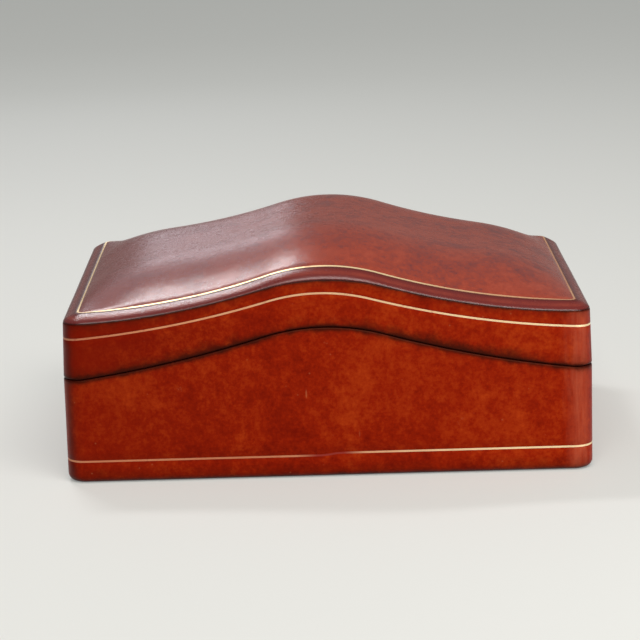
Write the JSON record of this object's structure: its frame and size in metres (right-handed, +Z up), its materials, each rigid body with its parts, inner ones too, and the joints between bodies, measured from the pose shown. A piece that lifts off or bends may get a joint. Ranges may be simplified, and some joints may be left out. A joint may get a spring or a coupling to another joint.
{
  "type": "stationery box",
  "caption": "Leather-covered stationery box with an ogee lid that swings open on stop hinges at the back.",
  "frame": {"origin": "on the table under the middle of the box, at the centre of the felt sole", "axes": "+X to the box's right as seen from its front, +Y to its back, +Z up"},
  "size_m": [0.3, 0.2231, 0.1353],
  "materials": {
    "leather_chestnut": "semi-gloss, hand-stained",
    "leather_oxblood": "gloss, hand-stained",
    "carcass_wood": "planed",
    "suede": "matte nap",
    "felt": "matte",
    "brass": "satin"
  },
  "bodies": {
    "base": {"base_bottom": "carcass_wood", "base_front": "carcass_wood", "base_back": "carcass_wood", "base_left": "carcass_wood", "base_right": "carcass_wood", "base_leather": "leather_chestnut", "base_sole": "felt", "base_lining_front": "suede", "base_lining_back": "suede", "base_lining_left": "suede", "base_lining_right": "suede", "base_lining_floor": "suede", "base_screws": "brass", "hinge_left_base_leaf": "brass", "hinge_left_pin": "brass", "hinge_right_base_leaf": "brass", "hinge_right_pin": "brass"},
    "lid": {"lid_top": "carcass_wood", "lid_front": "carcass_wood", "lid_back": "carcass_wood", "lid_left": "carcass_wood", "lid_right": "carcass_wood", "lid_leather": "leather_chestnut", "lid_top_leather": "leather_oxblood", "lid_lining_front": "suede", "lid_lining_back": "suede", "lid_lining_left": "suede", "lid_lining_right": "suede", "lid_lining_top": "suede", "lid_screws": "brass", "hinge_left_lid_leaf": "brass", "hinge_right_lid_leaf": "brass"}
  },
  "joints": [
    {"name": "lid_hinge", "type": "hinge", "parent": "base", "child": "lid", "pos_m": [0, 0.1108, 0.06065], "axis": [-1, 0, 0], "range_deg": [0, 95]}
  ]
}
